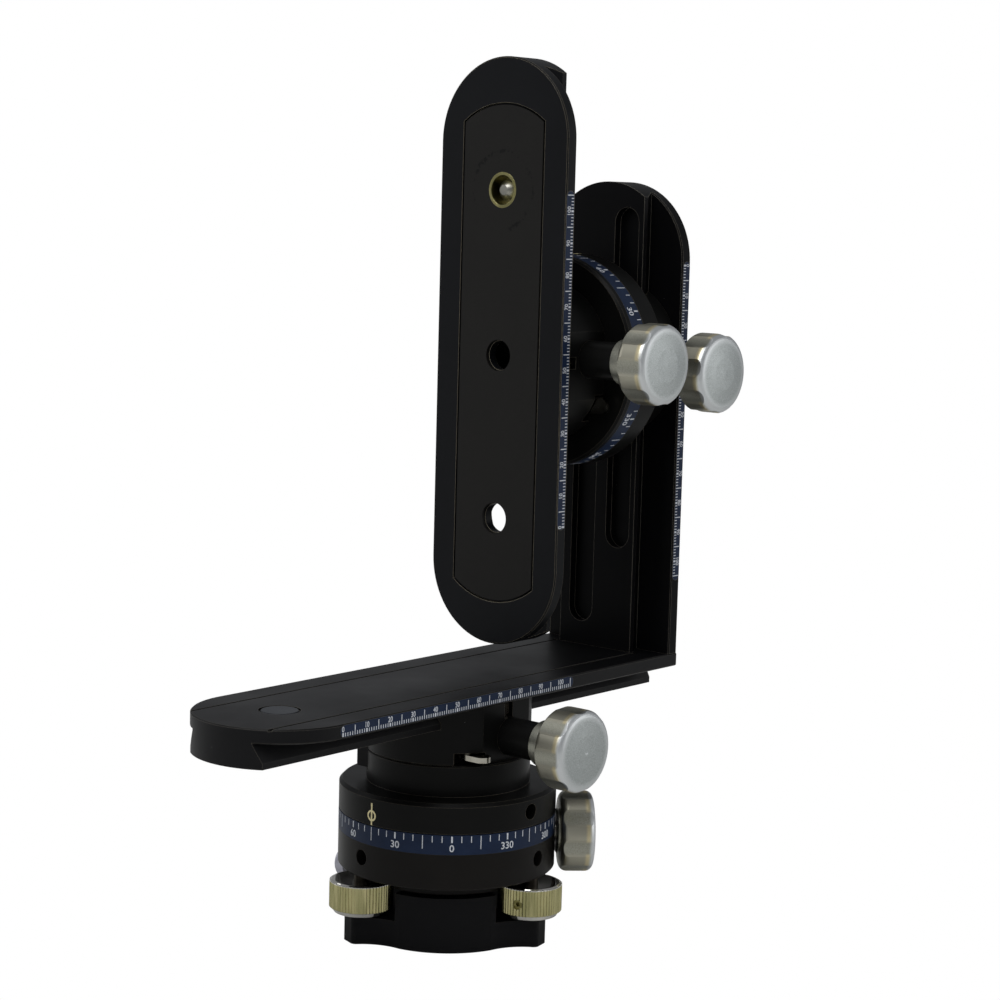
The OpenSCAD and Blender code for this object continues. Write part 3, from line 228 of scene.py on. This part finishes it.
def acetal(name):
    """Moulded white acetal: waxy, half matt, with faint flow marks."""
    material, tree, output, coords = new_material(name)
    flow = noise(tree, coords, 6, distortion=1.0)
    colour = blend_colours(tree, flow, srgb("#cfcabc"), srgb("#dcd8cc"))
    shader = add_node(tree, "ShaderNodeBsdfPrincipled", {
        "Base Color": colour, "Roughness": 0.45, "IOR": 1.48})
    tree.links.new(shader.outputs["BSDF"], output.inputs["Surface"])
    return material


dress(silver_blasted, "pivot_knob")
dress(blasted_black, "pivot_cap")
dress(acetal("moulded_acetal"), "pivot_cup")

# Pan rotator
# Two turned rings, black anodised, one on the other. The lower one has a blue band with
# printed degrees, and the upper one a pale gold index mark and the neck of the clamp.

# Its pale edge tone is partly wear and partly a painted highlight
turned_black = black_anodised("turned_black_anodised", "#0c0c0c", "#131312", 0.36, 0.35, 0.1, "#7d7668",
                              0.55)
dress(black_anodised("worn_black_anodised", "#131110", "#1b1917", 0.36, 0.35, 0.11), "pan_base")
dress(turned_black, "pan_ring")
dress(turned_steel, "pan_spindle")
dress(bright_metal("turned_aluminium", "#8f9192", "#b3b4b3", 0.3, 0.3, 0.01), "tilt_spindle", "tilt_nut")


def blue_anodised(name):
    """A strip of aluminium dyed dark blue, with a satin grain."""
    material, tree, output, coords = new_material(name)
    cloud = noise(tree, coords, 3, 4.0)
    colour = blend_colours(tree, cloud, srgb("#162138"), srgb("#1f2e49"))
    fine = noise(tree, coords, 0.3)
    bump = add_node(tree, "ShaderNodeBump", {"Height": fine, "Strength": 0.3, "Distance": 0.01 * MM})
    shader = add_node(tree, "ShaderNodeBsdfPrincipled", {
        "Base Color": colour, "Roughness": 0.42, "IOR": 1.5, "Specular IOR Level": 0.15,
        "Normal": bump.outputs["Normal"]})
    tree.links.new(shader.outputs["BSDF"], output.inputs["Surface"])
    return material


def printed_ink(name, low, high):
    """Screen printed ink: matt, thin, with a slightly broken coat."""
    material, tree, output, coords = new_material(name)
    coat = noise(tree, coords, 0.5)
    colour = blend_colours(tree, coat, srgb(low), srgb(high))
    shader = add_node(tree, "ShaderNodeBsdfPrincipled", {
        "Base Color": colour, "Roughness": 0.6, "IOR": 1.5})
    tree.links.new(shader.outputs["BSDF"], output.inputs["Surface"])
    return material


scale_blue = blue_anodised("blue_anodised_strip")
white_ink = printed_ink("pale_screen_ink", "#c4c9d2", "#e6e9ee")
gold_ink = printed_ink("gold_screen_ink", "#e6d89c", "#fff2c4")
dress(scale_blue, "pan_scale", "tilt_scale", "rail_scale", "upright_scale", "plate_scale")

INK = 0.03 * MM


def bar(u0, u1, v0, v1):
    """One printed rectangle, as a list of flat faces in scale coordinates."""
    return [[(u0, v0), (u1, v0), (u1, v1), (u0, v1)]]


def number(text, height, u, v, squeeze=0.86):
    """A printed number centred on (u, v), as flat faces in scale coordinates."""
    curve = bpy.data.curves.new("digits", "FONT")
    curve.body = text
    curve.align_x = "CENTER"
    curve.resolution_u = 3
    curve.offset = 0.012
    holder = bpy.data.objects.new("digits", curve)
    bpy.context.scene.collection.objects.link(holder)
    bpy.context.view_layer.update()
    mesh = bpy.data.meshes.new_from_object(holder)
    points = [vertex.co.copy() for vertex in mesh.vertices]
    low = min(p.y for p in points)
    scale = height / (max(p.y for p in points) - low)
    flat = [(u + p.x * scale * squeeze, v + (p.y - low) * scale - height / 2) for p in points]
    faces = [[flat[i] for i in polygon.vertices] for polygon in mesh.polygons]
    bpy.data.objects.remove(holder)
    bpy.data.curves.remove(curve)
    bpy.data.meshes.remove(mesh)
    return faces


def print_marks(name, faces, place, material, body):
    """Prints flat faces on a surface; place(u, v, out) gives the point that lies out over it."""
    grid = bmesh.new()
    for face in faces:
        top = [grid.verts.new(place(u, v, INK)) for u, v in face]
        foot = [grid.verts.new(place(u, v, -INK)) for u, v in face]
        grid.faces.new(top)
        grid.faces.new(reversed(foot))
        for i in range(len(face)):
            grid.faces.new((top[i - 1], foot[i - 1], foot[i], top[i]))
    bmesh.ops.remove_doubles(grid, verts=grid.verts, dist=MM * 0.0005)
    twins = [f for f in grid.faces if len(f.edges) < 3]
    bmesh.ops.delete(grid, geom=twins, context="FACES")
    bmesh.ops.recalc_face_normals(grid, faces=grid.faces)
    mesh = bpy.data.meshes.new(name)
    grid.to_mesh(mesh)
    grid.free()
    mesh.materials.append(material)
    piece = bpy.data.objects.new(name, mesh)
    bpy.context.scene.collection.objects.link(piece)
    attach(piece, body)
    return piece


RING_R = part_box("pan_scale")[1].x
PAN_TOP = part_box("pan_scale")[1].z
DEGREE_STEP = 5
DIGIT_H = 2.3 * MM
TICK = 2.0 * MM
LONG_TICK = 4.2 * MM
THIN = 0.13 * MM
BOLD = 0.26 * MM

# The scale's zero and the index read a little short of a right angle to the rail
PAN_ZERO = math.radians(224.2)
PAN_INDEX = math.radians(179.2)
TICK_INSET = 0.3 * MM
DIGIT_DROP = 3.8 * MM


def ring_faces(top):
    """A ring's degree scale, with its ticks from top downwards; its numbers rise to the left for
    someone facing the rim."""
    faces = []
    for degree in range(0, 360, DEGREE_STEP):
        u = -math.radians(degree) * RING_R
        half = BOLD if degree % 30 == 0 else THIN
        length = LONG_TICK if degree % 30 == 15 else TICK
        faces += bar(u - half, u + half, top - length, top)
        if degree % 30 == 0:
            faces += number(str(degree), DIGIT_H, u, top - DIGIT_DROP, 1.0)
    return faces


def pan_place(u, v, out):
    """A point of the pan rim, where u runs to the right for someone facing it."""
    angle = PAN_ZERO + u / RING_R
    return Vector(((RING_R + out) * math.cos(angle), (RING_R + out) * math.sin(angle), v))


print_marks("pan_marks", ring_faces(PAN_TOP - TICK_INSET), pan_place, white_ink, "pan_lower")

INDEX_HALF = 0.3 * MM
INDEX_RING = 1.8 * MM
INDEX_STROKE = 0.6 * MM
INDEX_START = 0.1 * MM
INDEX_LEN = 7.0 * MM
INDEX_CENTRE = 3.1 * MM


def index_faces(edge):
    """The index mark: a line through a small ring, which starts just inside the rim's edge."""
    centre = edge + INDEX_CENTRE
    faces = bar(-INDEX_HALF, INDEX_HALF, edge + INDEX_START, edge + INDEX_START + INDEX_LEN)
    steps = 32
    for i in range(steps):
        corners = []
        for radius, turn in ((INDEX_RING, i), (INDEX_RING, i + 1), (INDEX_RING - INDEX_STROKE, i + 1),
                             (INDEX_RING - INDEX_STROKE, i)):
            angle = 2 * math.pi * turn / steps
            corners.append((radius * math.sin(angle), centre + radius * math.cos(angle)))
        faces.append(corners)
    return faces


PAN_RING_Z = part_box("pan_ring")[0].z


def pan_index_place(u, v, out):
    """A point of the upper pan ring near the index, which faces -X."""
    angle = PAN_INDEX + u / RING_R
    return Vector(((RING_R + out) * math.cos(angle), (RING_R + out) * math.sin(angle), v))


print_marks("pan_index", index_faces(PAN_RING_Z), pan_index_place, gold_ink, "pan_upper")

# Silver knobs
# Fluted knobs turned from aluminium, bead blasted and clear anodised, each on a steel
# screw. One locks the pan, and one closes each clamp.

KNOB_RADIUS = (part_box("rail_clamp_knob")[1].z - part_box("rail_clamp_knob")[0].z) / 2


def knob_metal(name, centre, axis, reach):
    """Clear anodised aluminium, blasted: cool grey on the face, whose plane lies at reach along
    the axis, and warmer down the side, which is painted reflection; a pale gold painted highlight
    on the lands by the round edge, and a near-white painted highlight on the round edge itself."""
    material, tree, output, coords = new_material(name)
    arm = add_node(tree, "ShaderNodeVectorMath", {0: coords, 1: centre}, operation="SUBTRACT")
    across = add_node(tree, "ShaderNodeVectorMath", {0: arm.outputs["Vector"], 1: axis},
                      operation="CROSS_PRODUCT")
    radius = add_node(tree, "ShaderNodeVectorMath", {0: across.outputs["Vector"]}, operation="LENGTH")
    along = add_node(tree, "ShaderNodeVectorMath", {0: coords, 1: axis}, operation="DOT_PRODUCT")
    depth = add_node(tree, "ShaderNodeMath", {0: reach, 1: along.outputs["Value"]},
                     operation="SUBTRACT").outputs["Value"]
    land = ramp(tree, radius.outputs["Value"], KNOB_RADIUS - 0.35 * MM, KNOB_RADIUS - 0.05 * MM)
    # side blends the cool grey face into the warmer side: painted reflection
    side = ramp(tree, depth, 1.2 * MM, 2.4 * MM)
    # glow marks the lands just short of the round edge, for a pale gold painted highlight
    glow = ramp(tree, depth, 3.3 * MM, 4.0 * MM, 1.0, 0.0)
    grain = noise(tree, coords, 0.32)
    cloud = noise(tree, coords, 9)
    sparkle = ramp(tree, grain, 0.3, 0.7)
    face = blend_colours(tree, sparkle, srgb("#9fa4a3"), srgb("#bcc1c1"))
    flute = blend_colours(tree, sparkle, srgb("#96968a"), srgb("#b0afa3"))
    # The lands' turned tone, lifted to pale gold by glow: a painted highlight
    turned = blend_colours(tree, glow, srgb("#b0ad9e"), srgb("#d4c9a6"))
    side_painted_reflection_and_glint = blend_colours(tree, land, flute, turned)
    # The cool face and the warmer side together, a painted reflection
    lower = blend_colours(tree, side, face, side_painted_reflection_and_glint)
    # A near-white painted highlight on the round edge between side and face
    outer = ramp(tree, radius.outputs["Value"], KNOB_RADIUS - 3.4 * MM, KNOB_RADIUS - 1.0 * MM)
    upper = ramp(tree, depth, 1.7 * MM, 2.7 * MM, 1.0, 0.0)
    rim_painted_highlight = add_node(tree, "ShaderNodeMath", {0: outer, 1: upper}, operation="MULTIPLY")
    colour = blend_colours(tree, rim_painted_highlight.outputs["Value"], lower, srgb("#d9dcdd"))
    edge = add_node(tree, "ShaderNodeBevel", {"Radius": 0.1 * MM}, samples=6)
    bump = add_node(tree, "ShaderNodeBump", {
        "Height": grain, "Strength": 0.4, "Distance": 0.02 * MM, "Normal": edge.outputs["Normal"]})
    roughness = ramp(tree, cloud, 0.3, 0.7, 0.36, 0.44)
    shader = add_node(tree, "ShaderNodeBsdfPrincipled", {
        "Base Color": colour, "Metallic": 1.0, "Roughness": roughness, "Normal": bump.outputs["Normal"]})
    tree.links.new(shader.outputs["BSDF"], output.inputs["Surface"])
    return material


DIAGONAL = math.sqrt(0.5)
KNOB_AXES = {"pan_knob": Vector((DIAGONAL, -DIAGONAL, 0)), "rail_clamp_knob": Vector((0, -1, 0)),
             "unit_clamp_knob": Vector((0, -1, 0)), "plate_clamp_knob": Vector((0, -1, 0))}
for knob, axis in KNOB_AXES.items():
    knob_low, knob_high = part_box(knob)
    reach = max((NODES[knob].matrix_world @ vertex.co).dot(axis) for vertex in NODES[knob].data.vertices)
    dress(knob_metal("clear_anodised_" + knob, (knob_low + knob_high) / 2, axis, reach), knob)
dress(turned_steel, "pan_screw", "rail_clamp_rod", "unit_clamp_rod", "plate_clamp_rod", "camera_screw")

# Clamps
# Three alike dovetail clamps: a turned body with the fixed jaw, a milled moving jaw on
# two dowels, a black stem, a chromed lever in its notch and a knurled stop pin.


def chrome_plate(name):
    """Polished chrome on steel: a mirror with faint ripples from the polishing wheel."""
    material, tree, output, coords = new_material(name)
    ripple = noise(tree, coords, 3)
    bump = add_node(tree, "ShaderNodeBump", {"Height": ripple, "Strength": 0.2, "Distance": 0.02 * MM})
    colour = blend_colours(tree, ripple, srgb("#8f8a7c"), srgb("#cfccc2"))
    shader = add_node(tree, "ShaderNodeBsdfPrincipled", {
        "Base Color": colour, "Metallic": 1.0, "Roughness": 0.14, "Normal": bump.outputs["Normal"]})
    tree.links.new(shader.outputs["BSDF"], output.inputs["Surface"])
    return material


chrome = chrome_plate("polished_chrome")
for clamp in ("rail", "unit", "plate"):
    dress(turned_black, clamp + "_clamp_body", clamp + "_clamp_stem")
    dress(blasted_black, clamp + "_clamp_jaw")
    dress(chrome, clamp + "_clamp_lever")
    dress(screw_black, clamp + "_clamp_stop_pin", clamp + "_clamp_bolts")

# Rail
# A long dovetail rail, extruded, milled round at one end and black anodised, with a blue
# millimetre strip let into its front edge and a flush plug in the round end.

# The rail's pale edge tone is partly wear and partly a painted highlight
dress(black_anodised("milled_black_anodised", "#0c0c0e", "#121214", 0.4, 0.3, 0.15, "#8d887c", 0.4),
      "rail")
# The upright's black is darker and less glossy than the rail's, though from the same blank: painted
# shade for the plate's shadow. Its bright edge tone is partly wear and partly a painted highlight.
dress(black_anodised("upright_painted_shade_black_anodised", "#09090a", "#0e0e10", 0.4, 0.3, 0.06, "#b9b3a5", 0.45),
      "upright")
dress(black_anodised("turned_plug", "#24272c", "#2c3036", 0.34, 0.3, 0.14), "rail_plug")
dress(screw_black, "upright_screws")

SHORT_TICK = 1.1 * MM
FIVE_TICK = 2.9 * MM
TICK_HALF = 0.15 * MM
TEN_HALF = 0.32 * MM
STRIP_DIGIT_H = 1.7 * MM
SCALE_END = 105


def strip_faces():
    """Ticks and numbers of a millimetre strip: u runs along it, and v up from its ticks' edge."""
    faces = []
    foot = 0.15 * MM
    digit_mid = foot + SHORT_TICK + 0.25 * MM + STRIP_DIGIT_H / 2
    for mark in range(SCALE_END + 1):
        u = mark * MM
        half = TEN_HALF if mark % 10 == 0 else TICK_HALF
        length = FIVE_TICK if mark % 10 == 5 else SHORT_TICK
        faces += bar(u - half, u + half, foot, foot + length)
        if mark % 10 == 0:
            faces += number(str(mark), STRIP_DIGIT_H, u, digit_mid)
    return faces


STRIP_FACES = strip_faces()
EDGE_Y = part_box("rail_scale")[0].y


def print_strip(name, body, zero, along, up):
    """Prints the millimetre scale from its zero mark, along and up being unit vectors."""
    start = Vector(zero)
    along = Vector(along)
    up = Vector(up)

    def place(u, v, out):
        return start + along * u + up * v - Vector((0, 1, 0)) * out

    return print_marks(name, STRIP_FACES, place, white_ink, body)


RAIL_ZERO = 1.0 * MM
rail_low, rail_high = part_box("rail_scale")
print_strip("rail_marks", "rail_arm", (rail_low.x + RAIL_ZERO, EDGE_Y, rail_low.z),
            (1, 0, 0), (0, 0, 1))

# Upright
# The same blank stands on the rail's end, held by two screws from below. Its strip runs
# downwards, and its dovetail faces the pan axis.

UPRIGHT_ZERO = 1.2 * MM
upright_low, upright_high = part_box("upright_scale")
print_strip("upright_marks", "rail_arm", (upright_low.x, EDGE_Y, upright_high.z - UPRIGHT_ZERO),
            (0, 0, -1), (1, 0, 0))

# Tilt rotator
# Two turned rings on a spindle between two clamps. The one towards the camera plate has
# the blue degree band, and the other one the index mark at its top.

dress(turned_black, "tilt_index_ring", "tilt_scale_ring")
TILT_Z = (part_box("tilt_scale")[0].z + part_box("tilt_scale")[1].z) / 2
TILT_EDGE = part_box("tilt_scale")[1].x


def tilt_place(u, v, out):
    """A point of the tilt rim: zero faces -Y, and the angle rises towards the top."""
    angle = -math.pi / 2 - u / RING_R
    return Vector((v, (RING_R + out) * math.sin(angle), TILT_Z + (RING_R + out) * math.cos(angle)))


print_marks("tilt_marks", ring_faces(TILT_EDGE - TICK_INSET), tilt_place, white_ink, "tilt_head")
TILT_INDEX_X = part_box("tilt_index_ring")[0].x


def tilt_index_place(u, v, out):
    """A point of the index ring near its top."""
    angle = u / RING_R
    return Vector((v, (RING_R + out) * math.sin(angle), TILT_Z + (RING_R + out) * math.cos(angle)))


print_marks("tilt_index", index_faces(TILT_INDEX_X), tilt_index_place, gold_ink, "tilt_base")

# Camera plate
# A plate from the same blank, round at both ends, with three threaded holes and a thin
# grip pad let into its face. The upper hole has a bright bush and the camera's screw.

# The plate's strong pale edge tone is partly wear and partly a painted highlight
plate_black = black_anodised("plate_black_anodised", "#0e0f11", "#131417", 0.42, 0.3, 0.1, "#a39a86",
                             0.7)
dress(plate_black, "camera_plate")


def grip_rubber(name, worn_centre):
    """Thin moulded rubber: matt, a little brown, with a fine pebble grain, and with black
    marks that camera bodies have rubbed round the screw."""
    material, tree, output, coords = new_material(name)
    cloud = noise(tree, coords, 18, 5.0)
    plain = blend_colours(tree, cloud, srgb("#121110"), srgb("#181715"))
    arm = add_node(tree, "ShaderNodeVectorMath", {0: coords, 1: worn_centre}, operation="DISTANCE")
    band = ramp(tree, arm.outputs["Value"], 8 * MM, 12.5 * MM)
    outer = ramp(tree, arm.outputs["Value"], 12.5 * MM, 15.5 * MM, 1.0, 0.0)
    ring = add_node(tree, "ShaderNodeMath", {0: band, 1: outer}, operation="MINIMUM")
    smear = noise(tree, coords, 1.1, 5.0, roughness=0.7)
    patch = noise(tree, coords, 9)
    both = add_node(tree, "ShaderNodeMath", {0: smear, 1: patch}, operation="MULTIPLY")
    strength = add_node(tree, "ShaderNodeMath", {0: both.outputs["Value"], 1: ring.outputs["Value"]},
                        operation="MULTIPLY")
    mark = ramp(tree, strength.outputs["Value"], 0.25, 0.28)
    colour = blend_colours(tree, mark, plain, srgb("#040404"))
    pebble = add_node(tree, "ShaderNodeTexVoronoi", {"Vector": coords, "Scale": 1 / (0.45 * MM)})
    bump = add_node(tree, "ShaderNodeBump", {"Height": pebble.outputs["Distance"], "Strength": 0.35,
                                             "Distance": 0.04 * MM})
    shader = add_node(tree, "ShaderNodeBsdfPrincipled", {
        "Base Color": colour, "Roughness": 0.55, "IOR": 1.5, "Specular IOR Level": 0.17,
        "Normal": bump.outputs["Normal"]})
    tree.links.new(shader.outputs["BSDF"], output.inputs["Surface"])
    return material


bush_low, bush_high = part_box("plate_bush")
SCREW_FACE = Vector((bush_low.x, (bush_low.y + bush_high.y) / 2, (bush_low.z + bush_high.z) / 2))
dress(grip_rubber("moulded_grip_rubber", SCREW_FACE), "plate_pad")
dress(bright_metal("nickel_plated_brass", "#8f8a5c", "#c3bb84", 0.22, 0.3, 0.008), "plate_bush")
PLATE_ZERO = 0.8 * MM
plate_low, plate_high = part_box("plate_scale")
print_strip("plate_marks", "plate", (plate_high.x, EDGE_Y, plate_low.z + PLATE_ZERO),
            (0, 0, 1), (-1, 0, 0))

# Studio
# A white paper floor, a large soft panel over the left, a lower one at the right front, and
# the camera where the photograph was taken from.


def white_floor(name):
    """White paper, lit so evenly that the camera sees it as pure white."""
    material, tree, output, coords = new_material(name)
    fibre = noise(tree, coords, 2, 3.0)
    tone = blend_colours(tree, fibre, srgb("#e4e4e2"), srgb("#efefed"))
    paper = add_node(tree, "ShaderNodeBsdfDiffuse", {"Color": tone})
    glow = add_node(tree, "ShaderNodeEmission", {"Color": (1, 1, 1, 1), "Strength": 1.0})
    rays = add_node(tree, "ShaderNodeLightPath")
    mix = add_node(tree, "ShaderNodeMixShader", {
        0: rays.outputs["Is Camera Ray"], 1: paper.outputs["BSDF"], 2: glow.outputs["Emission"]})
    tree.links.new(mix.outputs["Shader"], output.inputs["Surface"])
    return material


FLOOR_HALF = 3.0
floor_mesh = bpy.data.meshes.new("floor")
floor_mesh.from_pydata([(-FLOOR_HALF, -FLOOR_HALF, 0), (FLOOR_HALF, -FLOOR_HALF, 0),
                        (FLOOR_HALF, FLOOR_HALF, 0), (-FLOOR_HALF, FLOOR_HALF, 0)], [], [(0, 1, 2, 3)])
floor_mesh.materials.append(white_floor("white_paper"))
floor = bpy.data.objects.new("floor", floor_mesh)
bpy.context.scene.collection.objects.link(floor)

world = bpy.data.worlds.new("studio")
bpy.context.scene.world = world
world.use_nodes = True
sky = world.node_tree
sky.nodes.clear()
rays = add_node(sky, "ShaderNodeLightPath")
white = add_node(sky, "ShaderNodeBackground", {"Color": (1, 1, 1, 1), "Strength": 1.0})
room = add_node(sky, "ShaderNodeBackground", {"Color": srgb("#d8dadd"), "Strength": 0.38})
shown = add_node(sky, "ShaderNodeMixShader", {
    0: rays.outputs["Is Camera Ray"], 1: room.outputs["Background"], 2: white.outputs["Background"]})
add_node(sky, "ShaderNodeOutputWorld", {"Surface": shown.outputs["Shader"]})

AIM = Vector((0.01, 0, 0.14))


def panel(name, place, width, height, watts):
    """A soft panel light that faces the object."""
    light = bpy.data.lights.new(name, "AREA")
    light.shape = "RECTANGLE"
    light.size = width
    light.size_y = height
    light.energy = watts
    lamp = bpy.data.objects.new(name, light)
    lamp.location = place
    lamp.rotation_euler = (AIM - Vector(place)).to_track_quat("-Z", "Y").to_euler()
    bpy.context.scene.collection.objects.link(lamp)


panel("top_left_panel", (-0.7, -0.1, 1.1), 0.9, 0.9, 8.0)
panel("front_right_panel", (0.7, -1.0, 0.3), 0.9, 0.9, 2.6)
panel("back_left_panel", (-0.5, 1.0, 0.5), 0.5, 0.9, 1.5)

# The camera's turn, rise and roll in degrees, its distance and focus, and the point it
# looks at, all solved from the millimetre marks in the photograph
TURN = math.radians(-49.69)
RISE = math.radians(7.21)
ROLL = math.radians(1.53)
FOCUS_PIXELS = 2337.92
FRAME_PIXELS = 1000
DISTANCE = 744.43 * MM
TARGET = Vector((9.32, -10.99, 140.39)) * MM

back = Vector((math.sin(TURN) * math.cos(RISE), -math.cos(TURN) * math.cos(RISE), math.sin(RISE)))
right = Vector((math.cos(TURN), math.sin(TURN), 0))
up = back.cross(right)
image_right = math.cos(ROLL) * right + math.sin(ROLL) * up
image_up = math.cos(ROLL) * up - math.sin(ROLL) * right
lens = bpy.data.cameras.new("camera")
lens.sensor_width = 36
lens.lens = lens.sensor_width * FOCUS_PIXELS / FRAME_PIXELS
lens.clip_start = 0.02
lens.clip_end = 20
camera = bpy.data.objects.new("camera", lens)
axes = Matrix((image_right, image_up, back)).transposed().to_4x4()
camera.matrix_world = Matrix.Translation(TARGET + back * DISTANCE) @ axes
bpy.context.scene.collection.objects.link(camera)
bpy.context.scene.camera = camera
bpy.context.scene.view_settings.view_transform = "Standard"
